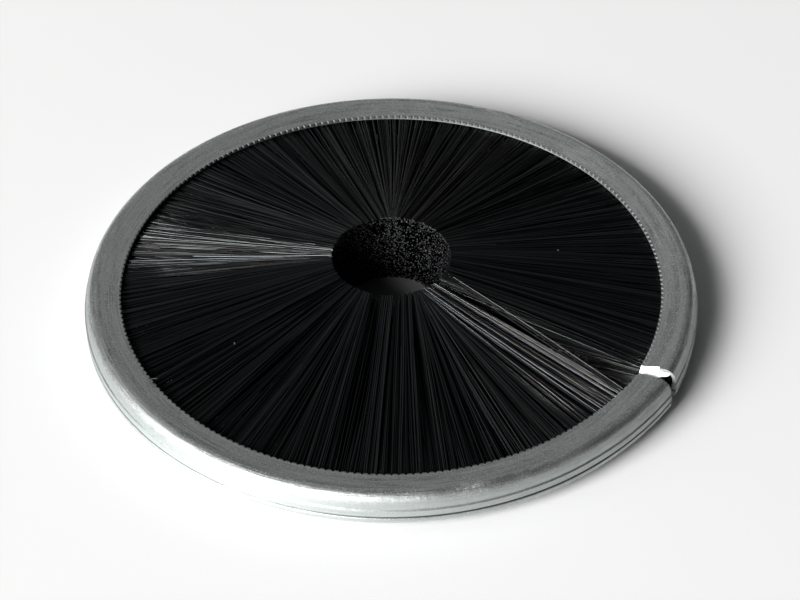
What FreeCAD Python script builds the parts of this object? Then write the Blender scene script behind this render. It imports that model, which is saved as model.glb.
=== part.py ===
import FreeCAD, Part
import math
import os

# Inward ring brush that fills a cable opening: a strip brush rolled into an open ring.
# A folded sheet-steel channel grips black filaments, which are doubled over a core wire
# and point at the centre, where their cut tips leave a round hole for the cables.
# All sizes are in millimetres. The ring's axis is Z and the part stands on Z = 0.

# Channel: one folded and rolled strip of galvanised sheet
ring_radius = 75.0          # outside of the rolled ring, to the lower band of its back
channel_height = 8.2        # back wall, from one flange's face to the other's
flange_reach = 9.0          # from the back to the serrated lips
sheet_thickness = 0.8
lip_drop = 1.0              # how far the crimp pushes each lip in from its flange's face
lip_setback = 0.3           # the turned-in lip stands this far behind the teeth's tips
slot_share = 0.66           # height of the slot between the lips, as a share of the teeth's spacing
shoulder_radius = 2.8       # rolled upper corner
heel_radius = 1.5           # rolled lower corner
ledge_width = 0.35          # step round the back, where the rollers' edges met
ledge_height = 0.55         # the step's place above the ring's middle plane
groove_depth = 0.4          # roller line round the lower band
groove_height = -1.75       # the line's place below the middle plane

# Serrated lips: the crimping wheel's teeth
serration_width = 0.75
serration_height = 0.6
serration_pitch = 1.64
serration_depth = 0.55
serration_flat = 0.45       # share of the pitch that stays at full reach

# Open joint, where the rolled strip's two cut ends meet
joint_azimuth = -28.9       # degrees from +X
joint_gap = 3.2
end_bend_radius = 89.0      # the ends spring out to this radius, from ring_radius
near_end_length = 31.0      # how much of the strip has sprung, on the -Y side of the joint
far_end_length = 21.0       # the same, on the +Y side
shear_tab_length = 2.3      # flange corner that the shears bent down into the joint
shear_tab_angle = 50.0
shear_slope_share = 0.6     # the shears cut the flange on a slope over this share of the tab's width
shear_tab_thickness = 0.64  # the sheet is thinned where it tore
shear_tab_edge = [          # the torn edge: share of the way to the back, share of the length
    (0.0, 0.97),
    (0.10, 1.0),
    (0.38, 0.84),
    (0.59, 0.89),
    (0.73, 0.56),
    (0.94, 0.30),
]

# Core wire, and the filaments doubled over it
wire_radius = 1.0
fold_thickness = 2.1        # layer of filaments between the wire and the channel's back
fold_clearance = 0.2        # the fold's clearance to the sheet round it
fold_fill = 0.6             # how far the fold spreads between the lips' slot and the flanges
fold_nose = 1.7             # the fold narrows over this length, towards the channel's back
bundle_count = 24           # the endless row of filaments, taken as this many bundles
end_margin = 0.9            # the fill stops this far inside the channel's far cut end
near_margin = 2.9           # the same, inside the near cut end
hub_height = 17.4           # the pack's depth at the hole
hub_foot = 12.0             # width of the flat that the pack stands on, round the hole
ridge_depth = 0.8           # relief between the clumps on the pack's upper side
hub_ridge_depth = 0.5       # the same, at the hole's rim
clumps_per_bundle = 4

# Cable hole, ringed by the cut tips
hole_radius_top = 14.5
hole_radius_bottom = 11.9
hole_overrun = 2.4          # the bundles are drawn this far into the hole before it is cut
ring_lift = 2.4             # the filaments hold the ring this far off the surface

# Sizes that follow
UP = FreeCAD.Vector(0, 0, 1)
middle_height = ring_lift + channel_height / 2.0
half_height = channel_height / 2.0
lip_radius = ring_radius - flange_reach
upper_wall_radius = ring_radius - ledge_width
inner_wall_radius = upper_wall_radius - sheet_thickness
lip_face = half_height - lip_drop
band_radius = lip_radius + serration_width
band_foot = lip_face - serration_height
lip_front = lip_radius + lip_setback
lip_back = lip_front + sheet_thickness
slot_half = lip_face * slot_share
wire_path_radius = inner_wall_radius - fold_thickness - wire_radius
fold_radius = inner_wall_radius - fold_clearance
core_radius = hole_radius_bottom - hole_overrun


def rotated(shape, angle):
    turned = shape.copy()
    turned.rotate(FreeCAD.Vector(0, 0, 0), UP, angle)
    return turned


def polar(radius, angle, height=0.0):
    turn = math.radians(angle)
    return FreeCAD.Vector(radius * math.cos(turn), radius * math.sin(turn), height)


def section_face(edges):
    return Part.Face(Part.Wire(Part.__sortEdges__(edges)))


def line(start, end):
    return Part.LineSegment(FreeCAD.Vector(start[0], 0, start[1]), FreeCAD.Vector(end[0], 0, end[1])).toShape()


def corner(centre, radius, first_angle, last_angle):
    """Arc in the section plane, through its middle."""
    points = []
    for angle in (first_angle, (first_angle + last_angle) / 2.0, last_angle):
        turn = math.radians(angle)
        points.append(FreeCAD.Vector(centre[0] + radius * math.cos(turn), 0, centre[1] + radius * math.sin(turn)))
    return Part.Arc(points[0], points[1], points[2]).toShape()


def run(points):
    return [line(a, b) for a, b in zip(points, points[1:])]


# The strip runs from its far end round to its near end in three stretches.
# Each is a circular arc with its own axis; the two ends are bent less than the ring.

def strip_stretches():
    """(axis, growth of the radius, first azimuth, sweep) of each stretch, in degrees."""
    half_gap = math.degrees(joint_gap / 2.0 / lip_radius)
    far_turn = math.degrees(far_end_length / ring_radius)
    near_turn = math.degrees(near_end_length / ring_radius)
    growth = end_bend_radius - ring_radius
    main_start = joint_azimuth + half_gap + far_turn
    main_end = joint_azimuth + 360.0 - half_gap - near_turn
    far_sweep = far_turn * ring_radius / end_bend_radius
    near_sweep = near_turn * ring_radius / end_bend_radius
    return [
        (polar(-growth, main_start), growth, main_start - far_sweep, far_sweep),
        (FreeCAD.Vector(0, 0, 0), 0.0, main_start, main_end - main_start),
        (polar(-growth, main_end), growth, main_end, near_sweep),
    ]


def placed(shape, stretch):
    axis, growth, start, sweep = stretch
    moved = rotated(shape, start)
    moved.translate(axis + UP * middle_height)
    return moved


def swept_section(face, stretch):
    axis, growth, start, sweep = stretch
    section = face.copy()
    section.translate(FreeCAD.Vector(growth, 0, 0))
    return placed(section.revolve(FreeCAD.Vector(0, 0, 0), UP, sweep), stretch)


def strip_point(distance, radius):
    """Point at a distance along the ring's outside from the strip's far end."""
    passed = 0.0
    for axis, growth, start, sweep in strip_stretches():
        along = distance - passed
        length = math.radians(sweep) * (ring_radius + growth)
        if along <= length:
            break
        passed = passed + length
    return axis + polar(radius + growth, start + math.degrees(along / (ring_radius + growth)))


def strip_length():
    return sum(math.radians(sweep) * (ring_radius + growth) for axis, growth, start, sweep in strip_stretches())


def channel_section():
    """Folded sheet: turned-in lips, flanges that slope down to them, rolled corners and back wall."""
    inner_corner = shoulder_radius - sheet_thickness
    inner_heel = max(heel_radius - sheet_thickness, sheet_thickness / 2.0)
    inner_face = half_height - sheet_thickness
    shoulder = (upper_wall_radius - shoulder_radius, half_height - shoulder_radius)
    heel = (ring_radius - heel_radius, heel_radius - half_height)
    inner_shoulder = (inner_wall_radius - inner_corner, inner_face - inner_corner)
    inner_foot = (inner_wall_radius - inner_heel, inner_heel - inner_face)
    edges = run([(band_radius, lip_face), (shoulder[0], half_height)])
    edges.append(corner(shoulder, shoulder_radius, 90, 0))
    edges += run([
        (upper_wall_radius, shoulder[1]),
        (upper_wall_radius, ledge_height),
        (ring_radius, ledge_height - ledge_width),
        (ring_radius, groove_height + groove_depth),
        (ring_radius - groove_depth, groove_height),
        (ring_radius, groove_height - groove_depth),
        (ring_radius, heel[1]),
    ])
    edges.append(corner(heel, heel_radius, 0, -90))
    edges += run([
        (heel[0], -half_height),
        (band_radius, -lip_face),
        (band_radius, -band_foot),
        (lip_front, -band_foot),
        (lip_front, -slot_half),
        (lip_back, -slot_half),
        (lip_back, sheet_thickness - lip_face),
        (inner_foot[0], -inner_face),
    ])
    edges.append(corner(inner_foot, inner_heel, -90, 0))
    edges += run([(inner_wall_radius, inner_foot[1]), (inner_wall_radius, inner_shoulder[1])])
    edges.append(corner(inner_shoulder, inner_corner, 0, 90))
    edges += run([
        (inner_shoulder[0], inner_face),
        (lip_back, lip_face - sheet_thickness),
        (lip_back, slot_half),
        (lip_front, slot_half),
        (lip_front, band_foot),
        (band_radius, band_foot),
        (band_radius, lip_face),
    ])
    return section_face(edges)


def serrated_band(stretch):
    """Crimped edge of one stretch's lip: the crimping wheel's teeth along its inner side."""
    axis, growth, start, sweep = stretch
    lip = lip_radius + growth
    outer = band_radius + growth
    teeth = max(1, round(math.radians(sweep) * lip / serration_pitch))
    step = sweep / teeth
    points = []
    for tooth in range(teeth):
        root = (tooth + (1.0 + serration_flat) / 2.0) * step
        points.append(polar(lip, tooth * step))
        points.append(polar(lip, (tooth + serration_flat) * step))
        points.append(polar(lip + serration_depth, root))
    points.append(polar(lip, sweep))
    points.append(polar(outer, sweep))
    edges = Part.makePolygon(points).Edges
    edges.append(Part.Arc(polar(outer, sweep), polar(outer, sweep / 2.0), polar(outer, 0)).toShape())
    edges.append(Part.LineSegment(polar(outer, 0), polar(lip, 0)).toShape())
    return Part.Face(Part.Wire(edges)).extrude(UP * serration_height)


def channel_stretch(stretch):
    band = serrated_band(stretch)
    upper = band.copy()
    upper.translate(UP * band_foot)
    lower = band.copy()
    lower.translate(UP * -lip_face)
    shell = swept_section(channel_section(), stretch)
    return shell.fuse([placed(upper, stretch), placed(lower, stretch)])


def sheared(whole):
    """The far end's upper flange, cut on a slope by the shears, with the torn tab that they bent down."""
    axis, growth, start, sweep = strip_stretches()[0]
    tilt = math.radians(shear_tab_angle)
    across = polar(1.0, start)
    climb = UP * math.sin(tilt) + polar(math.cos(tilt), start + 90.0)
    normal = UP * math.cos(tilt) - polar(math.sin(tilt), start + 90.0)
    lip = axis + across * (lip_radius + growth) + UP * (middle_height + lip_face)
    width = upper_wall_radius - shoulder_radius / 2.0 - lip_radius
    rise = lip_drop / math.sin(tilt)
    sloped = shear_slope_share * width
    outline = [
        (0.0, 0.0),
        (serration_width, 0.0),
        (sloped, rise * shear_slope_share),
        (sloped, 0.0),
        (width, 0.0),
    ]
    outline += [(share * width, -reach * shear_tab_length) for share, reach in reversed(shear_tab_edge)]
    tab = flat_face([lip + across * along + climb * up for along, up in outline])
    corners = [(-lip_drop, -lip_drop), (sloped, -lip_drop), (sloped, 2.0 * rise), (-lip_drop, 2.0 * rise)]
    slope = flat_face([lip + across * along + climb * up for along, up in corners])
    cut = whole.cut(slope.extrude(normal * 2.0 * lip_drop))
    return cut.fuse(tab.extrude(normal * -shear_tab_thickness))


def channel():
    pieces = [channel_stretch(stretch) for stretch in strip_stretches()]
    return sheared(pieces[0].fuse(pieces[1:])).removeSplitter()


def core_wire():
    """Round wire that runs inside the channel, with the filaments folded over it."""
    circle = Part.makeCircle(wire_radius, FreeCAD.Vector(wire_path_radius, 0, 0), FreeCAD.Vector(0, 1, 0))
    face = Part.Face(Part.Wire(circle))
    pieces = [swept_section(face, stretch) for stretch in strip_stretches()]
    return pieces[0].fuse(pieces[1:]).removeSplitter()


# Filament pack

def pack_stations():
    """(radius, top, bottom, relief) of the pack from the fold to inside the hole.

    Heights are from the ring's middle plane; the first entries lie in the channel.
    """
    hub_bottom = -middle_height
    hub_top = hub_height - middle_height
    foot = hole_radius_bottom + hub_foot
    throat = lip_radius - serration_width
    halfway = (throat + foot) / 2.0
    fold_half = half_height - sheet_thickness - fold_clearance
    bulge = slot_half + (fold_half - slot_half) * fold_fill
    nose = slot_half * fold_fill
    rise = (hub_top - slot_half) / (throat - hole_radius_top)
    sink = (hub_bottom + slot_half) / (throat - foot)
    return [
        (fold_radius, nose, -nose, 0.0),
        (fold_radius - fold_nose, bulge, -bulge, 0.0),
        (wire_path_radius, bulge, -bulge, 0.0),
        (lip_back + sheet_thickness, slot_half, -slot_half, 0.0),
        (throat, slot_half, -slot_half, 0.0),
        (halfway, slot_half + rise * (throat - halfway), sink * (throat - halfway) - slot_half, ridge_depth),
        (foot, slot_half + rise * (throat - foot), hub_bottom, ridge_depth),
        (core_radius, hub_top, hub_bottom, hub_ridge_depth),
    ]


def bundle_edge(index):
    """Plan line of the border between two bundles: its hub point and its fold point."""
    share = index / bundle_count
    usable = strip_length() - end_margin - near_margin
    fold = strip_point(end_margin + share * usable, fold_radius)
    hub = polar(core_radius, joint_azimuth + 360.0 * share)
    return hub, fold


def edge_point(edge, radius):
    """Point of a border at a radius, measured back from the channel's fold."""
    hub, fold = edge
    share = (fold_radius - radius) / (fold_radius - core_radius)
    return fold + (hub - fold) * share


def station_outline(first, last, station):
    """Corners of a bundle's section: clumps along its upper side, and a plain underside."""
    radius, top, bottom, relief = station
    left = edge_point(first, radius)
    right = edge_point(last, radius)
    points = []
    for step in range(2 * clumps_per_bundle + 1):
        share = step / (2.0 * clumps_per_bundle)
        height = middle_height + top + (relief / 2.0 if step % 2 else -relief / 2.0)
        points.append(left + (right - left) * share + UP * height)
    for share in (1.0, 0.5, 0.0):
        points.append(left + (right - left) * share + UP * (middle_height + bottom))
    return points


def flat_face(points):
    return Part.Face(Part.makePolygon(points + [points[0]]))


def skinned(outlines):
    """Solid between outlines with matching corners, its skin laid in flat triangles."""
    faces = [flat_face(outlines[0]), flat_face(outlines[-1])]
    for here, there in zip(outlines, outlines[1:]):
        for corner_a, corner_b in zip(range(len(here)), list(range(1, len(here))) + [0]):
            faces.append(flat_face([here[corner_a], here[corner_b], there[corner_b]]))
            faces.append(flat_face([here[corner_a], there[corner_b], there[corner_a]]))
    return Part.Solid(Part.Shell(faces))


def cable_hole():
    """Round hole left by the cut tips, a little wider at the top."""
    slope = (hole_radius_top - hole_radius_bottom) / hub_height
    low = hole_radius_bottom - slope * ridge_depth
    high = hole_radius_top + slope * ridge_depth
    hole = Part.makeCone(low, high, hub_height + 2.0 * ridge_depth)
    hole.translate(UP * -ridge_depth)
    return hole


def filament_bundle(index, wire):
    """Filaments between two borders, closed up as one ridged body from fold to tips."""
    first = bundle_edge(index)
    last = bundle_edge(index + 1)
    body = skinned([station_outline(first, last, station) for station in pack_stations()])
    return body.cut([cable_hole(), wire])


def export(shape, name):
    if not shape.isValid():
        raise ValueError(name + " is not a valid solid")
    shape.exportStep("parts/" + name + ".step")


def main():
    os.makedirs("parts", exist_ok=True)
    wire = core_wire()
    export(channel(), "channel")
    export(wire, "core_wire")
    for index in range(bundle_count):
        export(filament_bundle(index, wire), "filament_bundle_%02d" % (index + 1))


main()
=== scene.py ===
import math

import bpy
import numpy as np
from mathutils import Matrix, Vector


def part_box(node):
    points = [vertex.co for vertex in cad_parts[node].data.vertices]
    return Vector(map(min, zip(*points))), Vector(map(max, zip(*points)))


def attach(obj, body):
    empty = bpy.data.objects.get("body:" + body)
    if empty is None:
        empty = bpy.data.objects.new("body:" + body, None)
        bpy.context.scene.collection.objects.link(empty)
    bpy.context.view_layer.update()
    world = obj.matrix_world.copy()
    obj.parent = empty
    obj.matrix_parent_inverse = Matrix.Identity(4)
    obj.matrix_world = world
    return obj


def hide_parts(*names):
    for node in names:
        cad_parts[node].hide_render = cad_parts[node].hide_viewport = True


bl_info = {
    "name": "Brush cable grommet",
    "version": (1, 0, 0),
    "blender": (4, 5, 0),
    "location": "View3D > Sidebar > Grommet",
    "description": "Ring brush in a folded steel channel: its filaments, its finishes and a plain stage",
    "category": "Object",
}

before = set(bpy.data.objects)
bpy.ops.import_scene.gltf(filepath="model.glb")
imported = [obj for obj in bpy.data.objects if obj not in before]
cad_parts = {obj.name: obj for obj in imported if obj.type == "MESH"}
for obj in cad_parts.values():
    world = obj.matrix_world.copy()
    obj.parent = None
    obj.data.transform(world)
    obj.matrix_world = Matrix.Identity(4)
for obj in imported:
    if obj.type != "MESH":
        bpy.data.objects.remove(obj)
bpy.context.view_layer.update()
channel_low, channel_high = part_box("channel")
channel_middle = (channel_low.z + channel_high.z) / 2
BUNDLES = sorted(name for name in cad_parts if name.startswith("filament_bundle"))

# Places where the tips are combed aside: azimuth, width and push in degrees
SWIRLS = (
    (74, 9, 8),
    (102, 9, -7),
    (166, 15, 8),
    (257, 13, -9),
    (280, 12, 10),
    (318, 13, -18),
    (337, 4, -6),
)

# Share of a swirl's push that the lowest filaments keep
DEEP_COMB = 0.3

# Where in its stretch of the strip a clump's middle may lie, as shares of the stretch
CLUMP_STRETCH = (0.1, 0.9)

# Share of a clump's sway and ruffle that each filament has by itself, and scatter of its layer
LOOSENESS = 0.3
LAYER_SCATTER = 0.008

# Points of a leg, as shares of its way from the lips to its tip
LEG_STEPS = (0.0, 0.2, 0.45, 0.75, 1.0)

# Turns round the core wire at which the fold has a point, in degrees
FOLD_TURNS = (60, 0, -60)

# Loose legs that lie across the joint: share of the strip, turn of the tip in degrees, and lift
CROSSING = (
    (0.9925, 7.5, 0.0011),
    (0.9912, 6.0, 0.0008),
    (0.99, 3.5, 0.0005),
)
CROSSING_LAYER = 0.99
CROSSING_BOW = 0.0006

# Short curled ends at the joint: count, the stretch and the layers that they start in, and lift
CURLS = 5
CURL_SHARES = (0.993, 0.999)
CURL_LAYERS = (0.8, 0.95)
CURL_LIFT = 0.0004

# One curled end: its points, its share of the leg's run, the size of its waves, their turn from one
# point to the next and their shift over the whole strip, in radians, and how far the end stands up
CURL_POINTS = 12
CURL_REACH = 0.42
CURL_SIZE = 0.0005
CURL_TURN = 1.3
CURL_SHIFT = 6
CURL_RISE = 0.0002

# A face turned to the hole by more than this is a filament's cut tip
CUT_FACING = 0.7

# Broken end and lint: azimuth, radius, height as a share of the flange's, length and turn
LITTER = (
    (212.6, 0.0676, 0.93, 0.0026, 172),
    (214.3, 0.0448, 1.38, 0.0006, 70),
    (267.5, 0.0233, 2.14, 0.0006, 20),
    (9.9, 0.0420, 1.46, 0.0005, 120),
)

# Lint's thickness as a share of a filament's, and its bend and sag as shares of its length
LINT_THICKNESS = 0.8
LINT_BEND = 1 / 12
LINT_SAG = 1 / 16

# Painted shade on the ring's back, drawn as dark lines: half the groove's and the ledge's line, the ledge's
# strength, and the heights over the channel's foot between which the painted shade under the heel fades
GROOVE_HALF = 0.00028
LEDGE_HALF = 0.00016
LEDGE_SHADE = 0.45
HEEL_SHADE = (0.0007, 0.0003)

# Distances behind the lip's edge between which the painted shade on the teeth and the lip's edge fades
TEETH_SHADE_FADE = (0.0005, 0.0001)

# The brushed back's roughness above the flanges', and how far it draws its highlights out
BACK_ROUGHNESS = 0.27
BACK_BRUSHING = 0.45

# The camera's sensor and the nearest thing that it sees
SENSOR_WIDTH = 36.0
NEAREST_SEEN = 0.01


# Sizes and colours

class GrommetStrip(bpy.types.PropertyGroup):
    """Rolled strip that holds the filaments"""
    ring_radius: bpy.props.FloatProperty(
        name="Ring radius", description="Outside of the rolled ring",
        default=0.075, unit="LENGTH", precision=4)
    lip_radius: bpy.props.FloatProperty(
        name="Lip radius", description="Inner edge of the serrated lips",
        default=0.066, unit="LENGTH", precision=4)
    wire_path_radius: bpy.props.FloatProperty(
        name="Wire path radius", description="Middle line of the core wire",
        default=0.07075, unit="LENGTH", precision=4)
    wire_radius: bpy.props.FloatProperty(
        name="Wire radius", description="The filaments are folded over the core wire",
        default=0.001, unit="LENGTH", precision=4)
    slot_half: bpy.props.FloatProperty(
        name="Half slot", description="Half the height between the lips",
        default=0.00204, unit="LENGTH", precision=5)
    bulge_half: bpy.props.FloatProperty(
        name="Half bulge", description="Half the height of the fold over the wire",
        default=0.00267, unit="LENGTH", precision=5)
    fold_reach: bpy.props.FloatProperty(
        name="Fold reach", description="The fold's reach outwards from the wire",
        default=0.0027, unit="LENGTH", precision=4)
    lip_depth: bpy.props.FloatProperty(
        name="Lip depth", description="The slot widens this far behind the teeth",
        default=0.0019, unit="LENGTH", precision=4)
    tooth_width: bpy.props.FloatProperty(
        name="Tooth width", description="The filaments leave the slot this far in front of the teeth",
        default=0.00075, unit="LENGTH", precision=5)
    joint_azimuth: bpy.props.FloatProperty(
        name="Joint", description="Where the strip's two ends meet",
        default=math.radians(-28.9), unit="ROTATION")
    joint_gap: bpy.props.FloatProperty(
        name="Joint gap", description="Opening between the two cut ends",
        default=0.0032, unit="LENGTH", precision=4)
    end_bend_radius: bpy.props.FloatProperty(
        name="End bend radius", description="Radius that the ends spring out to",
        default=0.089, unit="LENGTH")
    near_end_length: bpy.props.FloatProperty(
        name="Near end", description="Sprung length on the near side",
        default=0.031, unit="LENGTH")
    far_end_length: bpy.props.FloatProperty(
        name="Far end", description="Sprung length on the far side",
        default=0.021, unit="LENGTH")
    end_margin: bpy.props.FloatProperty(
        name="End margin", description="Filaments stop this far inside the far cut end",
        default=0.0009, unit="LENGTH", precision=4)
    near_margin: bpy.props.FloatProperty(
        name="Near margin", description="Filaments stop this far inside the near cut end",
        default=0.0029, unit="LENGTH", precision=4)


class GrommetFilaments(bpy.types.PropertyGroup):
    """Filaments that fill the ring"""
    per_bundle: bpy.props.IntProperty(
        name="Filaments a bundle", description="Filaments doubled over the wire, two legs each",
        default=150, min=20)
    diameter: bpy.props.FloatProperty(
        name="Diameter", description="Thickness of one filament",
        default=0.00035, unit="LENGTH", precision=5)
    hub_height: bpy.props.FloatProperty(
        name="Hub height", description="Depth of the pack at the hole",
        default=0.0174, unit="LENGTH", precision=4)
    hole_top: bpy.props.FloatProperty(
        name="Hole radius, top", description="Upper rim of the cable hole",
        default=0.0145, unit="LENGTH", precision=4)
    hole_bottom: bpy.props.FloatProperty(
        name="Hole radius, bottom", description="Lower rim of the cable hole",
        default=0.0119, unit="LENGTH", precision=4)
    foot_radius: bpy.props.FloatProperty(
        name="Foot radius", description="The pack lies flat inside this radius",
        default=0.0239, unit="LENGTH", precision=4)
    clumps: bpy.props.IntProperty(
        name="Clumps", description="Tufts round the ring that the top filaments gather in",
        default=130, min=1)
    gather: bpy.props.FloatProperty(
        name="Gather", description="Share of the way that a clump draws its tips together",
        default=0.2, subtype="FACTOR")
    top_share: bpy.props.FloatProperty(
        name="Top share", description="Share of the filaments that lie on top, apart from each other",
        default=0.15, subtype="FACTOR")
    crust: bpy.props.FloatProperty(
        name="Crust", description="The others stay under this share of the pack's half depth",
        default=0.97, subtype="FACTOR")
    pressed_length: bpy.props.FloatProperty(
        name="Pressed length", description="Share of the strip, at its near end, with pressed filaments",
        default=0.0082, subtype="FACTOR")
    pressed_depth: bpy.props.FloatProperty(
        name="Pressed depth", description="Share of the pack's half depth left there",
        default=0.4, subtype="FACTOR")
    sway: bpy.props.FloatProperty(
        name="Sway", description="Sideways bow of a clump",
        default=0.0003, unit="LENGTH", precision=5)
    ruffle: bpy.props.FloatProperty(
        name="Ruffle", description="How far a clump rises or sinks",
        default=0.00012, unit="LENGTH", precision=5)
    stray: bpy.props.FloatProperty(
        name="Stray", description="Scatter of the tips round the hole",
        default=math.radians(0.7), unit="ROTATION")
    ragged: bpy.props.FloatProperty(
        name="Ragged", description="Scatter of the cut lengths",
        default=0.00012, unit="LENGTH", precision=5)
    seed: bpy.props.IntProperty(
        name="Seed", description="Seed of the random draws",
        default=11)


class GrommetFinish(bpy.types.PropertyGroup):
    """Colours of the finishes"""
    zinc: bpy.props.FloatVectorProperty(
        name="Zinc", description="Galvanised sheet",
        default=(0.71, 0.755, 0.74), subtype="COLOR", min=0, max=1)
    # The dark lines at the groove's and the ledge's heights are painted shade
    groove_height: bpy.props.FloatProperty(
        name="Groove height", description="Middle of the dark line along the back's groove",
        default=0.00475, unit="LENGTH", precision=5)
    ledge_height: bpy.props.FloatProperty(
        name="Ledge height", description="Middle of the faint line along the back's ledge",
        default=0.00688, unit="LENGTH", precision=5)
    back_tone: bpy.props.FloatProperty(
        name="Back tone", description="Tone of the ring's brushed back against its pressed flanges",
        default=0.72, subtype="FACTOR", min=0, max=1)
    wire: bpy.props.FloatVectorProperty(
        name="Wire", description="Drawn steel wire",
        default=(0.42, 0.42, 0.41), subtype="COLOR", min=0, max=1)
    filament: bpy.props.FloatVectorProperty(
        name="Filament", description="Black plastic",
        default=(0.004, 0.0045, 0.005), subtype="COLOR", min=0, max=1)
    tip: bpy.props.FloatVectorProperty(
        name="Cut tip", description="Sheared ends of the filaments",
        default=(0.05, 0.05, 0.052), subtype="COLOR", min=0, max=1)
    lint: bpy.props.FloatVectorProperty(
        name="Lint", description="Broken end and specks",
        default=(0.14, 0.14, 0.135), subtype="COLOR", min=0, max=1)
    floor: bpy.props.FloatVectorProperty(
        name="Floor", description="Pale table top",
        default=(0.965, 0.968, 0.96), subtype="COLOR", min=0, max=1)
    # Painted shade: share of the floor's colour kept inside the cable hole
    hole_shade: bpy.props.FloatProperty(
        name="Hole shade", description="Share of the floor's colour left inside the hole",
        default=0.15, subtype="FACTOR", min=0, max=1)


class GrommetStage(bpy.types.PropertyGroup):
    """Camera, table and light"""
    camera_place: bpy.props.FloatVectorProperty(
        name="Camera", description="Where the camera stands",
        default=(0.0022, -0.4243, 0.3806), subtype="TRANSLATION")
    camera_aim: bpy.props.FloatVectorProperty(
        name="Aim", description="Point in the middle of the picture",
        default=(0.00216, -0.00866, 0.0106), subtype="TRANSLATION")
    camera_roll: bpy.props.FloatProperty(
        name="Roll", description="Turn of the camera about its own axis",
        default=math.radians(-0.275), unit="ROTATION")
    lens: bpy.props.FloatProperty(
        name="Lens", description="Focal length on a 36 mm sensor",
        default=103.5, unit="CAMERA")
    table_width: bpy.props.FloatProperty(
        name="Table width", description="Side of the square table top",
        default=6.0, unit="LENGTH")
    window_azimuth: bpy.props.FloatProperty(
        name="Window azimuth", description="Direction of the window from +X",
        default=math.radians(224), unit="ROTATION")
    window_elevation: bpy.props.FloatProperty(
        name="Window elevation", description="Height of the window's middle",
        default=math.radians(27.5), unit="ROTATION")
    window_distance: bpy.props.FloatProperty(
        name="Window distance", description="From the part to the window",
        default=5.0, unit="LENGTH")
    window_size: bpy.props.FloatVectorProperty(
        name="Window size", description="Width and height of the window",
        default=(2.65, 2.5), size=2, unit="LENGTH")
    window_power: bpy.props.FloatProperty(
        name="Window power", description="Power of the window's light",
        default=440.0)
    surround_turn: bpy.props.FloatProperty(
        name="Surround turn", description="From the window's middle to that of the lit wall round it",
        default=math.radians(14), unit="ROTATION")
    surround_elevation: bpy.props.FloatProperty(
        name="Surround elevation", description="Height of that wall's middle",
        default=math.radians(26), unit="ROTATION")
    surround_gap: bpy.props.FloatProperty(
        name="Surround gap", description="That wall stands this far behind the window",
        default=0.1, unit="LENGTH")
    surround_size: bpy.props.FloatVectorProperty(
        name="Surround size", description="Width and height of that wall",
        default=(6.6, 4.3), size=2, unit="LENGTH")
    surround_power: bpy.props.FloatProperty(
        name="Surround power", description="Power of that wall's light",
        default=100.0)
    wall_azimuth: bpy.props.FloatProperty(
        name="Wall azimuth", description="Direction of the far wall from +X",
        default=math.radians(108), unit="ROTATION")
    wall_elevation: bpy.props.FloatProperty(
        name="Wall elevation", description="Height of the far wall's middle",
        default=math.radians(43), unit="ROTATION")
    wall_distance: bpy.props.FloatProperty(
        name="Wall distance", description="From the part to the far wall",
        default=2.0, unit="LENGTH")
    wall_size: bpy.props.FloatVectorProperty(
        name="Wall size", description="Width and height of the far wall",
        default=(4.0, 2.4), size=2, unit="LENGTH")
    wall_power: bpy.props.FloatProperty(
        name="Wall power", description="Power of the far wall's light",
        default=5.0)
    room_light: bpy.props.FloatVectorProperty(
        name="Room light", description="Colour of the light from the rest of the room",
        default=(0.9, 0.95, 1.0), subtype="COLOR", min=0, max=1)
    room_strength: bpy.props.FloatProperty(
        name="Room strength", description="Light from the rest of the room",
        default=0.02, subtype="FACTOR")
    backdrop: bpy.props.FloatVectorProperty(
        name="Backdrop", description="Colour seen beyond the table's edge",
        default=(0.9, 0.9, 0.895), subtype="COLOR", min=0, max=1)


# Shared helpers

def deselect():
    bpy.ops.object.select_all(action="DESELECT")


def polar(radius, angle):
    return np.array([radius * math.cos(angle), radius * math.sin(angle)])


def strip_stretches(strip):
    """(axis, radius growth, first angle, sweep) of the strip's far end, ring and near end."""
    half_gap = strip.joint_gap / 2 / strip.lip_radius
    growth = strip.end_bend_radius - strip.ring_radius
    start = strip.joint_azimuth + half_gap + strip.far_end_length / strip.ring_radius
    end = strip.joint_azimuth + 2 * math.pi - half_gap - strip.near_end_length / strip.ring_radius
    far_sweep = strip.far_end_length / strip.end_bend_radius
    near_sweep = strip.near_end_length / strip.end_bend_radius
    return [
        (polar(-growth, start), growth, start - far_sweep, far_sweep),
        (np.zeros(2), 0.0, start, end - start),
        (polar(-growth, end), growth, end, near_sweep),
    ]


def strip_place(strip, share):
    """(axis, radius growth, angle) of the bend at a share of the filled length of the strip."""
    stretches = strip_stretches(strip)
    lengths = [sweep * (strip.ring_radius + growth) for _, growth, _, sweep in stretches]
    along = strip.end_margin + share * (sum(lengths) - strip.end_margin - strip.near_margin)
    for (axis, growth, start, sweep), length in zip(stretches, lengths):
        if along <= length:
            break
        along -= length
    return axis, growth, start + min(along, length) / (strip.ring_radius + growth)


# Shader nodes

def fill(tree, made, inputs):
    """Links a node's inputs, by name or place, to sockets, or sets them to values."""
    for name, source in inputs.items():
        if hasattr(source, "is_output"):
            tree.links.new(source, made.inputs[name])
        else:
            made.inputs[name].default_value = source


def node(tree, kind, inputs=None, **settings):
    """Adds a node, makes its settings and fills its inputs."""
    made = tree.nodes.new(kind)
    for name, value in settings.items():
        setattr(made, name, value)
    fill(tree, made, inputs or {})
    return made


def new_material(name):
    material = bpy.data.materials.new(name)
    material.use_nodes = True
    tree = material.node_tree
    tree.nodes.clear()
    shader = node(tree, "ShaderNodeBsdfPrincipled")
    node(tree, "ShaderNodeOutputMaterial", {"Surface": shader.outputs["BSDF"]})
    return material, tree, shader


def maths(tree, operation, *operands):
    """Result of one Math node on sockets and numbers."""
    return node(tree, "ShaderNodeMath", dict(enumerate(operands)), operation=operation).outputs[0]


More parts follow.
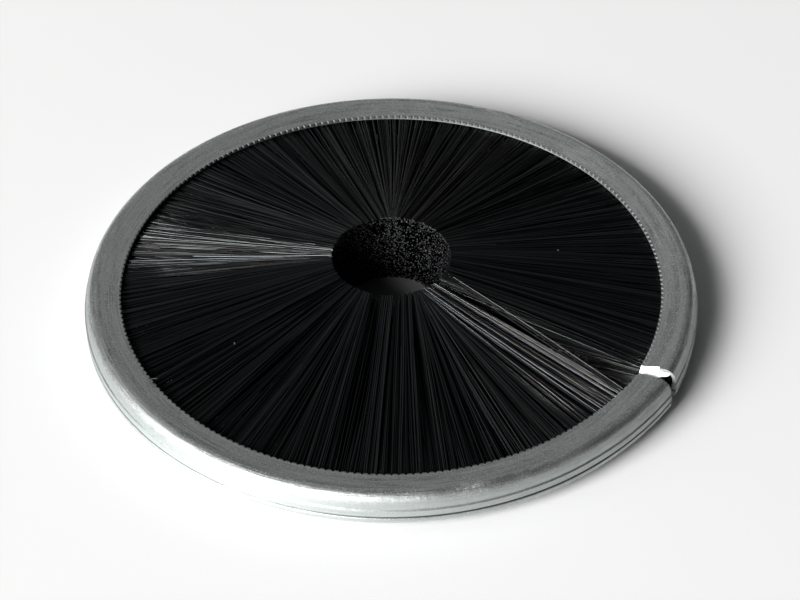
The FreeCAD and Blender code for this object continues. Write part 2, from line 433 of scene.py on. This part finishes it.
def ramp(tree, value, start=0.0, end=1.0, low=0.0, high=1.0):
    """Low at the start and high at the end, with a straight slope between them."""
    return node(tree, "ShaderNodeMapRange", {
        "Value": value, "From Min": start, "From Max": end, "To Min": low, "To Max": high}).outputs[0]


def noise(tree, where, scale, detail, roughness=0.5):
    """Cloudy value from 0 to 1."""
    return node(tree, "ShaderNodeTexNoise", {
        "Vector": where, "Scale": scale, "Detail": detail, "Roughness": roughness}).outputs["Fac"]


def scaled(colour, share):
    return [min(1.0, value * share) for value in colour]


def mix_colour(tree, factor, first, second, strength=1.0):
    """Mixes two colours, each a socket or a value, by a mask."""
    if strength != 1.0:
        factor = maths(tree, "MULTIPLY", factor, strength)
    ends = [colour if hasattr(colour, "is_output") else (*colour, 1.0) for colour in (first, second)]
    return node(tree, "ShaderNodeMix", {0: factor, 6: ends[0], 7: ends[1]}, data_type="RGBA").outputs[2]


def ring_coordinates_group(joint_azimuth, ring_radius):
    """Coordinates along the strip: length round the ring, radius and height. Their seam is in the joint."""
    group = bpy.data.node_groups.new("Ring coordinates", "ShaderNodeTree")
    group.interface.new_socket("Vector", in_out="OUTPUT", socket_type="NodeSocketVector")
    coordinates = node(group, "ShaderNodeTexCoord")
    turned = node(group, "ShaderNodeVectorRotate", {
        "Vector": coordinates.outputs["Object"], "Angle": math.pi - joint_azimuth}, rotation_type="Z_AXIS")
    split = node(group, "ShaderNodeSeparateXYZ", {0: turned.outputs[0]})
    angle = maths(group, "ARCTAN2", split.outputs["Y"], split.outputs["X"])
    length = maths(group, "MULTIPLY", angle, ring_radius)
    flat = node(group, "ShaderNodeCombineXYZ", {"X": split.outputs["X"], "Y": split.outputs["Y"]})
    radius = node(group, "ShaderNodeVectorMath", {0: flat.outputs[0]}, operation="LENGTH")
    joined = node(group, "ShaderNodeCombineXYZ", {
        "X": length, "Y": radius.outputs["Value"], "Z": split.outputs["Z"]})
    node(group, "NodeGroupOutput", {"Vector": joined.outputs[0]})
    return group


def streaks_group():
    """Mask of fine lines that run round the ring, from drawing and rolling the strip.

    Along is the share of the fineness that is left along the ring. A line starts where the noise
    is Low and is full where it is High."""
    group = bpy.data.node_groups.new("Rolling streaks", "ShaderNodeTree")
    group.interface.new_socket("Vector", in_out="INPUT", socket_type="NodeSocketVector")
    for name in ("Fineness", "Along", "Low", "High"):
        group.interface.new_socket(name, in_out="INPUT", socket_type="NodeSocketFloat")
    group.interface.new_socket("Mask", in_out="OUTPUT", socket_type="NodeSocketFloat")
    source = node(group, "NodeGroupInput")
    stretch = node(group, "ShaderNodeCombineXYZ", {"X": source.outputs["Along"], "Y": 1.0, "Z": 1.0})
    stretched = node(group, "ShaderNodeVectorMath", {
        0: source.outputs["Vector"], 1: stretch.outputs[0]}, operation="MULTIPLY")
    lines = noise(group, stretched.outputs[0], source.outputs["Fineness"], detail=3.0, roughness=0.6)
    mask = ramp(group, lines, source.outputs["Low"], source.outputs["High"])
    node(group, "NodeGroupOutput", {"Mask": mask})
    return group


def streaks(tree, group, where, fineness, along, low, high):
    """Mask of one set of rolling streaks."""
    return node(tree, "ShaderNodeGroup", {
        "Vector": where, "Fineness": fineness, "Along": along, "Low": low, "High": high},
        node_tree=group).outputs["Mask"]


# Materials

def galvanised_steel(finish, strip):
    """Zinc sheet with mottled, scuffed flanges and a duller brushed back, with painted shade on the teeth
    and along the back's groove, heel and ledge.
    """
    material, tree, shader = new_material("galvanised steel")
    ring = ring_coordinates_group(strip.joint_azimuth, strip.ring_radius)
    where = node(tree, "ShaderNodeGroup", node_tree=ring).outputs["Vector"]
    place = node(tree, "ShaderNodeSeparateXYZ", {0: where})
    facing = node(tree, "ShaderNodeSeparateXYZ", {0: node(tree, "ShaderNodeTexCoord").outputs["Normal"]})
    level = maths(tree, "ABSOLUTE", facing.outputs["Z"])
    group = streaks_group()
    drawn = streaks(tree, group, where, fineness=2500.0, along=0.03, low=0.4, high=0.6)
    bands = streaks(tree, group, where, fineness=520.0, along=0.05, low=0.5, high=0.64)
    scuffs = streaks(tree, group, where, fineness=900.0, along=0.09, low=0.54, high=0.7)
    patch = ramp(tree, noise(tree, where, scale=170.0, detail=5.0, roughness=0.62), start=0.35, end=0.68)
    fleck = ramp(tree, noise(tree, where, scale=2600.0, detail=2.0, roughness=0.7), start=0.45, end=0.7)
    back = ramp(tree, level, start=0.85, end=0.35)
    # Painted shade: dark lines along the back's groove, under its heel and along its ledge
    painted_back_shade = back_painted_shade(tree, finish, place.outputs["Z"], level)
    # Painted shade on the teeth and the lip's edge, which mutes their reflections
    teeth = ramp(tree, place.outputs["Y"], *(strip.lip_radius + distance for distance in TEETH_SHADE_FADE))
    tone = mix_colour(tree, patch, scaled(finish.zinc, 0.66), finish.zinc)
    # Each layer: its mask, its tone as a share of the zinc's, and its strength
    for mask, share, strength in (
            (drawn, 1.15, 0.5),
            (bands, 0.5, 0.6),
            (scuffs, 0.4, 0.75),
            (fleck, 1.5, 0.9),
            (back, finish.back_tone, 0.8),
            # Painted shade along the back's groove, heel and ledge
            (painted_back_shade, 0.1, 0.85),
            # Painted shade on the teeth and the lip's edge
            (teeth, 0.25, 0.75)):
        tone = mix_colour(tree, mask, tone, scaled(finish.zinc, share), strength)
    smoothed = ramp(tree, patch, low=0.5, high=0.38)
    rough = maths(tree, "ADD", smoothed, maths(tree, "MULTIPLY", back, BACK_ROUGHNESS))
    spangle = node(tree, "ShaderNodeTexVoronoi", {"Vector": where, "Scale": 900.0, "Randomness": 1.0})
    height = maths(tree, "ADD", drawn, spangle.outputs["Distance"])
    bump = node(tree, "ShaderNodeBump", {"Height": height, "Strength": 0.3, "Distance": 0.0001})
    tangent = node(tree, "ShaderNodeTangent", direction_type="RADIAL", axis="Z")
    fill(tree, shader, {
        "Base Color": tone,
        "Metallic": 1.0,
        "Roughness": rough,
        "Anisotropic": maths(tree, "MULTIPLY", back, BACK_BRUSHING),
        "Anisotropic Rotation": 0.25,
        "Tangent": tangent.outputs[0],
        "Normal": bump.outputs[0]})
    return material


def back_painted_shade(tree, finish, height, level):
    """Mask of painted shade on the ring's upright back: dark lines in the groove, under the heel and along
    the ledge.
    """
    groove = maths(tree, "COMPARE", height, finish.groove_height, GROOVE_HALF)
    heel = ramp(tree, height, *(channel_low.z + rise for rise in HEEL_SHADE))
    ledge = maths(tree, "COMPARE", height, finish.ledge_height, LEDGE_HALF)
    lower = maths(tree, "MAXIMUM", groove, heel)
    lines = maths(tree, "MAXIMUM", lower, maths(tree, "MULTIPLY", ledge, LEDGE_SHADE))
    upright = ramp(tree, level, start=0.99, end=0.9)
    return maths(tree, "MULTIPLY", lines, upright)


def drawn_wire(finish):
    material, tree, shader = new_material("drawn steel wire")
    where = node(tree, "ShaderNodeTexCoord").outputs["Object"]
    stain = noise(tree, where, scale=600.0, detail=4.0)
    tone = mix_colour(tree, stain, scaled(finish.wire, 0.7), finish.wire)
    fill(tree, shader, {"Base Color": tone, "Metallic": 1.0, "Roughness": 0.38})
    return material


def black_filament(finish):
    """Glossy black plastic, a little different on each filament."""
    material, tree, shader = new_material("black filament")
    draw = node(tree, "ShaderNodeNewGeometry").outputs["Random Per Island"]
    tone = mix_colour(tree, draw, scaled(finish.filament, 0.6), scaled(finish.filament, 1.5))
    tint = mix_colour(tree, drawn_again(tree, draw, 7.0), (1.0, 0.94, 0.85), (0.86, 0.95, 1.0))
    gloss = ramp(tree, drawn_again(tree, draw, 31.0), start=0.45, end=0.95, low=0.1, high=1.0)
    fill(tree, shader, {
        "Base Color": tone,
        "Roughness": ramp(tree, draw, low=0.06, high=0.16),
        "Specular Tint": tint,
        "Specular IOR Level": gloss,
        "IOR": 1.55})
    return material


def drawn_again(tree, draw, spread):
    """Another random value from 0 to 1, worked out of a filament's first."""
    return maths(tree, "FRACT", maths(tree, "MULTIPLY", draw, spread))


def cut_tip(finish):
    """Sheared end of a filament, paler and duller than its drawn side."""
    material, tree, shader = new_material("cut filament tip")
    draw = node(tree, "ShaderNodeNewGeometry").outputs["Random Per Island"]
    pale = maths(tree, "POWER", draw, 3.0)
    tone = mix_colour(tree, pale, scaled(finish.tip, 0.15), scaled(finish.tip, 3.0))
    fill(tree, shader, {"Base Color": tone, "Roughness": 0.5})
    return material


def lint(finish):
    material, tree, shader = new_material("lint")
    where = node(tree, "ShaderNodeTexCoord").outputs["Object"]
    stain = noise(tree, where, scale=1500.0, detail=2.0)
    tone = mix_colour(tree, stain, scaled(finish.lint, 0.5), finish.lint)
    fill(tree, shader, {"Base Color": tone, "Roughness": 0.7})
    return material


def pale_table(finish, filaments):
    """Table top, with shade painted into its colour inside the cable hole."""
    material, tree, shader = new_material("pale table")
    where = node(tree, "ShaderNodeTexCoord").outputs["Object"]
    reach = node(tree, "ShaderNodeVectorMath", {0: where}, operation="LENGTH")
    outside = ramp(tree, reach.outputs["Value"], filaments.hole_bottom, filaments.hole_top)
    # Painted shade: the floor's colour is darkened inside the hole
    tone = mix_colour(tree, outside, scaled(finish.floor, finish.hole_shade), finish.floor)
    fill(tree, shader, {"Base Color": tone, "Roughness": 0.6, "Specular IOR Level": 0.2})
    return material


# Filaments

def combed(azimuth):
    """How far the tips are combed aside from a place on the ring, in radians."""
    turn = math.degrees(azimuth) % 360
    return math.radians(sum(
        push * math.exp(-((turn - centre) / width) ** 2) for centre, width, push in SWIRLS))


def leg_path(filaments, strip, place, layer, tip_angle, bow=0.0, lift=0.0, shortfall=0.0):
    """Middle line of one leg, from the core wire to its cut tip. Its layer is 0 at the foot and 1 on top."""
    axis, growth, angle = place
    inset = filaments.diameter / 2
    hole = filaments.hole_bottom + (filaments.hole_top - filaments.hole_bottom) * layer
    rows = []
    for radius, half in (
            (strip.wire_path_radius - inset, strip.bulge_half - inset),
            (strip.lip_radius + strip.lip_depth, strip.slot_half - inset)):
        spot = axis + polar(radius + growth, angle)
        rows.append((*spot, channel_middle + half * (2 * layer - 1)))
    throat = strip.lip_radius - strip.tooth_width
    mouth = axis + polar(throat + growth, angle)
    across = polar(hole + shortfall, tip_angle) - mouth
    side = np.array([-across[1], across[0]]) / np.linalg.norm(across)
    mouth_top = channel_middle + strip.slot_half
    mouth_bottom = channel_middle - strip.slot_half
    for step in LEG_STEPS:
        radius = throat + (hole - throat) * step
        rise = (throat - radius) / (throat - filaments.hole_top)
        sink = min((throat - radius) / (throat - filaments.foot_radius), 1.0)
        top = mouth_top + (filaments.hub_height - mouth_top) * rise - inset
        bottom = mouth_bottom * (1.0 - sink) + inset
        swing = math.sin(math.pi * step)
        spot = mouth + across * step + side * bow * swing
        rows.append((*spot, max(bottom + (top - bottom) * layer + lift * swing, inset)))
    return rows


def fold_path(filaments, strip, place, depth):
    """Middle line of the turn over the core wire, from above it to below it."""
    axis, growth, angle = place
    near = strip.wire_radius + filaments.diameter / 2
    out = near + (strip.fold_reach - near) * depth
    half = near + (strip.bulge_half - filaments.diameter / 2 - near) * depth
    rows = []
    for turn in FOLD_TURNS:
        radius = strip.wire_path_radius + growth + out * math.cos(math.radians(turn))
        spot = axis + polar(radius, angle)
        rows.append((*spot, channel_middle + half * math.sin(math.radians(turn))))
    return rows


def curled_path(start, end, phase):
    """Middle line of a short end that curls on its way from one point towards another."""
    start, end = np.array(start), np.array(end)
    rows = []
    for step in range(CURL_POINTS):
        spot = start + (end - start) * (CURL_REACH * step / (CURL_POINTS - 1))
        curl = CURL_SIZE * math.sin(step * CURL_TURN + phase)
        rows.append(tuple(spot + np.array([0.5 * curl, curl, 0.4 * abs(curl) + CURL_RISE])))
    return rows


def square_profile(diameter):
    """Section of a filament, for the bevel of its curve."""
    deselect()
    bpy.ops.curve.primitive_bezier_circle_add(radius=diameter / 2)
    profile = bpy.context.object
    profile.data.splines.clear()
    spline = profile.data.splines.new("POLY")
    spline.points.add(3)
    for point, turn in zip(spline.points, (90, 180, 270, 360)):
        point.co = (*polar(diameter / 2, math.radians(turn)), 0, 1)
    spline.use_cyclic_u = True
    return profile


def filament_piece(name, paths, diameter):
    """Tubes along the paths, made as one bevelled curve and converted to a mesh."""
    profile = square_profile(diameter)
    curve = bpy.data.curves.new(name, "CURVE")
    curve.dimensions = "3D"
    curve.bevel_mode = "OBJECT"
    curve.bevel_object = profile
    curve.use_fill_caps = True
    for path in paths:
        spline = curve.splines.new("POLY")
        spline.points.add(len(path) - 1)
        rows = np.ones((len(path), 4))
        rows[:, :3] = path
        spline.points.foreach_set("co", rows.ravel())
    piece = bpy.data.objects.new(name, curve)
    bpy.context.scene.collection.objects.link(piece)
    deselect()
    piece.select_set(True)
    bpy.context.view_layer.objects.active = piece
    bpy.ops.object.convert(target="MESH")
    bpy.data.objects.remove(profile)
    piece = bpy.context.object
    part_tips(piece.data.polygons)
    return piece


def part_tips(faces):
    """Gives the cut tips, which face the hole, the second material, and smooths the other faces."""
    normals, centres = np.zeros(3 * len(faces)), np.zeros(3 * len(faces))
    faces.foreach_get("normal", normals)
    faces.foreach_get("center", centres)
    normals, centres = normals.reshape(-1, 3)[:, :2], centres.reshape(-1, 3)[:, :2]
    inward = -(normals * centres).sum(axis=1) / np.linalg.norm(centres, axis=1)
    cut = inward > CUT_FACING
    faces.foreach_set("use_smooth", ~cut)
    faces.foreach_set("material_index", cut.astype(int))


# Operators

class GROMMET_OT_channel(bpy.types.Operator):
    """Gives the folded channel its galvanised finish"""
    bl_idname = "grommet.channel"
    bl_label = "Channel"

    def execute(self, context):
        scene = context.scene
        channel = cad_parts["channel"]
        channel.data.materials.clear()
        channel.data.materials.append(galvanised_steel(scene.grommet_finish, scene.grommet_strip))
        return {"FINISHED"}


class GROMMET_OT_core_wire(bpy.types.Operator):
    """Gives the core wire its drawn steel finish"""
    bl_idname = "grommet.core_wire"
    bl_label = "Core wire"

    def execute(self, context):
        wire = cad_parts["core_wire"]
        wire.data.materials.clear()
        wire.data.materials.append(drawn_wire(context.scene.grommet_finish))
        return {"FINISHED"}


class GROMMET_OT_filaments(bpy.types.Operator):
    """Lays the filaments over the core wire, bundle by bundle"""
    bl_idname = "grommet.filaments"
    bl_label = "Filaments"

    def execute(self, context):
        strip = context.scene.grommet_strip
        filaments = context.scene.grommet_filaments
        random = np.random.default_rng(filaments.seed)
        side = black_filament(context.scene.grommet_finish)
        tip = cut_tip(context.scene.grommet_finish)
        clumps = self.clumps(filaments, random)
        for index, node_name in enumerate(BUNDLES):
            paths = []
            for _ in range(filaments.per_bundle):
                share = (index + random.random()) / len(BUNDLES)
                paths.append(self.doubled(strip, filaments, clumps, share, random))
            if index == len(BUNDLES) - 1:
                paths += self.crossing(strip, filaments, random)
            piece = filament_piece("filaments_" + node_name[-2:], paths, filaments.diameter)
            piece.data.materials.append(side)
            piece.data.materials.append(tip)
            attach(piece, "root")
            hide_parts(node_name)
        return {"FINISHED"}

    def clumps(self, filaments, random):
        """Middles of the clumps, as shares of the strip, with each clump's bow and lift."""
        count = filaments.clumps
        middles = (np.arange(count) + random.uniform(*CLUMP_STRETCH, count)) / count
        bows = random.normal(0, filaments.sway, count)
        lifts = random.uniform(-filaments.ruffle, filaments.ruffle, count)
        return middles, bows, lifts

    def doubled(self, strip, filaments, clumps, share, random):
        """Middle line of one filament, from its top tip over the wire to its lower tip."""
        middles, bows, lifts = clumps
        depth = filaments.crust * random.random()
        if random.random() < filaments.top_share:
            depth = 1.0
        if share > 1.0 - filaments.pressed_length:
            depth *= filaments.pressed_depth
        clump = int(np.argmin(np.abs(middles - share)))
        gathered = share + (middles[clump] - share) * filaments.gather * depth
        azimuth = strip.joint_azimuth + 2 * math.pi * gathered
        place = strip_place(strip, share)
        legs = []
        for way in (1, -1):
            layer = min(max(0.5 + way * 0.5 * depth + random.normal(0, LAYER_SCATTER), 0.0), 1.0)
            tip_angle = azimuth + random.normal(0, filaments.stray)
            if way > 0:
                tip_angle += combed(azimuth) * (DEEP_COMB + (1 - DEEP_COMB) * depth)
            bow = bows[clump] + random.normal(0, filaments.sway * LOOSENESS)
            lift = lifts[clump] * depth * way + random.normal(0, filaments.ruffle * LOOSENESS)
            shortfall = random.normal(0, filaments.ragged)
            legs.append(leg_path(filaments, strip, place, layer, tip_angle, bow, lift, shortfall))
        return legs[0][::-1] + fold_path(filaments, strip, place, depth) + legs[1]

    def crossing(self, strip, filaments, random):
        """Loose top legs at the joint that lie across the others, and short curled ends beside them."""
        paths = []
        for share, turn, lift in CROSSING:
            tip_angle = strip.joint_azimuth + 2 * math.pi * share + math.radians(turn)
            path = leg_path(
                filaments, strip, strip_place(strip, share), CROSSING_LAYER, tip_angle, CROSSING_BOW, lift)
            paths.append(path[1:])
        for _ in range(CURLS):
            share = random.uniform(*CURL_SHARES)
            layer = random.uniform(*CURL_LAYERS)
            tip_angle = strip.joint_azimuth + 2 * math.pi * share
            path = leg_path(filaments, strip, strip_place(strip, share), layer, tip_angle, lift=CURL_LIFT)
            paths.append(curled_path(path[3], path[4], CURL_SHIFT * share))
        return paths


class GROMMET_OT_litter(bpy.types.Operator):
    """Drops the broken end on the lip and the specks of lint on the filaments"""
    bl_idname = "grommet.litter"
    bl_label = "Litter"

    def execute(self, context):
        finish = context.scene.grommet_finish
        face = channel_high.z - channel_middle
        paths = []
        for azimuth, radius, height, length, turn in LITTER:
            here = polar(radius, math.radians(azimuth))
            there = here + polar(length, math.radians(azimuth + turn))
            bend = (here + there) / 2 + polar(length * LINT_BEND, math.radians(azimuth + turn + 90))
            rise = channel_middle + height * face
            sag = length * LINT_SAG
            paths.append([(*here, rise), (*bend, rise + sag), (*there, rise - sag)])
        piece = filament_piece("litter", paths, context.scene.grommet_filaments.diameter * LINT_THICKNESS)
        piece.data.materials.append(lint(finish))
        piece.data.materials.append(lint(finish))
        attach(piece, "root")
        return {"FINISHED"}


class GROMMET_OT_stage(bpy.types.Operator):
    """Sets the pale table, the window's light and the camera"""
    bl_idname = "grommet.stage"
    bl_label = "Stage"

    def execute(self, context):
        stage = context.scene.grommet_stage
        self.table(context.scene)
        self.lamp("window", stage.window_azimuth, stage.window_elevation, stage.window_distance,
                  stage.window_size, stage.window_power)
        self.lamp("window_wall", stage.window_azimuth - stage.surround_turn, stage.surround_elevation,
                  stage.window_distance + stage.surround_gap, stage.surround_size, stage.surround_power)
        self.lamp("far_wall", stage.wall_azimuth, stage.wall_elevation, stage.wall_distance,
                  stage.wall_size, stage.wall_power)
        self.world(stage)
        self.camera(stage)
        return {"FINISHED"}

    def table(self, scene):
        deselect()
        bpy.ops.mesh.primitive_plane_add(size=scene.grommet_stage.table_width)
        floor = bpy.context.object
        floor.name = "table_top"
        floor.data.materials.append(pale_table(scene.grommet_finish, scene.grommet_filaments))

    def lamp(self, name, azimuth, elevation, distance, size, power):
        flat = polar(distance * math.cos(elevation), azimuth)
        place = Vector((*flat, distance * math.sin(elevation)))
        bpy.ops.object.light_add(type="AREA", location=place)
        lamp = bpy.context.object
        lamp.name = name
        lamp.data.shape = "RECTANGLE"
        lamp.data.size, lamp.data.size_y = size
        lamp.data.energy = power
        lamp.rotation_euler = (-place).to_track_quat("-Z", "Y").to_euler()

    def world(self, stage):
        """Dim light from the room, with a pale backdrop that only the camera sees."""
        world = bpy.data.worlds.new("room")
        bpy.context.scene.world = world
        world.use_nodes = True
        tree = world.node_tree
        tree.nodes.clear()
        room = node(tree, "ShaderNodeBackground", {
            "Color": (*stage.room_light, 1.0), "Strength": stage.room_strength})
        pale = node(tree, "ShaderNodeBackground", {"Color": (*stage.backdrop, 1.0), "Strength": 1.0})
        path = node(tree, "ShaderNodeLightPath")
        mix = node(tree, "ShaderNodeMixShader", {
            0: path.outputs["Is Camera Ray"], 1: room.outputs[0], 2: pale.outputs[0]})
        node(tree, "ShaderNodeOutputWorld", {"Surface": mix.outputs[0]})

    def camera(self, stage):
        place, aim = Vector(stage.camera_place), Vector(stage.camera_aim)
        bpy.ops.object.camera_add(location=place)
        camera = bpy.context.object
        camera.data.sensor_width = SENSOR_WIDTH
        camera.data.lens = stage.lens
        camera.data.clip_start = NEAREST_SEEN
        turn = (aim - place).to_track_quat("-Z", "Y").to_matrix().to_4x4()
        turn.translation = place
        camera.matrix_world = turn @ Matrix.Rotation(stage.camera_roll, 4, "Z")
        bpy.context.scene.camera = camera
        bpy.context.scene.view_settings.view_transform = "Standard"


# Panel and steps

STEPS = (GROMMET_OT_channel, GROMMET_OT_core_wire, GROMMET_OT_filaments, GROMMET_OT_litter, GROMMET_OT_stage)
GROUPS = {
    "grommet_strip": GrommetStrip,
    "grommet_filaments": GrommetFilaments,
    "grommet_finish": GrommetFinish,
    "grommet_stage": GrommetStage,
}


class GROMMET_PT_panel(bpy.types.Panel):
    """Lists the steps that make the grommet, and their sizes and colours"""
    bl_idname = "GROMMET_PT_panel"
    bl_label = "Brush cable grommet"
    bl_space_type = "VIEW_3D"
    bl_region_type = "UI"
    bl_category = "Grommet"

    def draw(self, context):
        for step in STEPS:
            self.layout.operator(step.bl_idname)
        for group in GROUPS:
            box = self.layout.box()
            settings = getattr(context.scene, group)
            for name in settings.__annotations__:
                box.prop(settings, name)


def register():
    for name, group in GROUPS.items():
        bpy.utils.register_class(group)
        setattr(bpy.types.Scene, name, bpy.props.PointerProperty(type=group))
    for step in STEPS:
        bpy.utils.register_class(step)
    bpy.utils.register_class(GROMMET_PT_panel)


def unregister():
    bpy.utils.unregister_class(GROMMET_PT_panel)
    for step in reversed(STEPS):
        bpy.utils.unregister_class(step)
    for name, group in GROUPS.items():
        delattr(bpy.types.Scene, name)
        bpy.utils.unregister_class(group)


def main():
    register()
    bpy.ops.grommet.channel()
    bpy.ops.grommet.core_wire()
    bpy.ops.grommet.filaments()
    bpy.ops.grommet.litter()
    bpy.ops.grommet.stage()


if __name__ == "__main__":
    main()
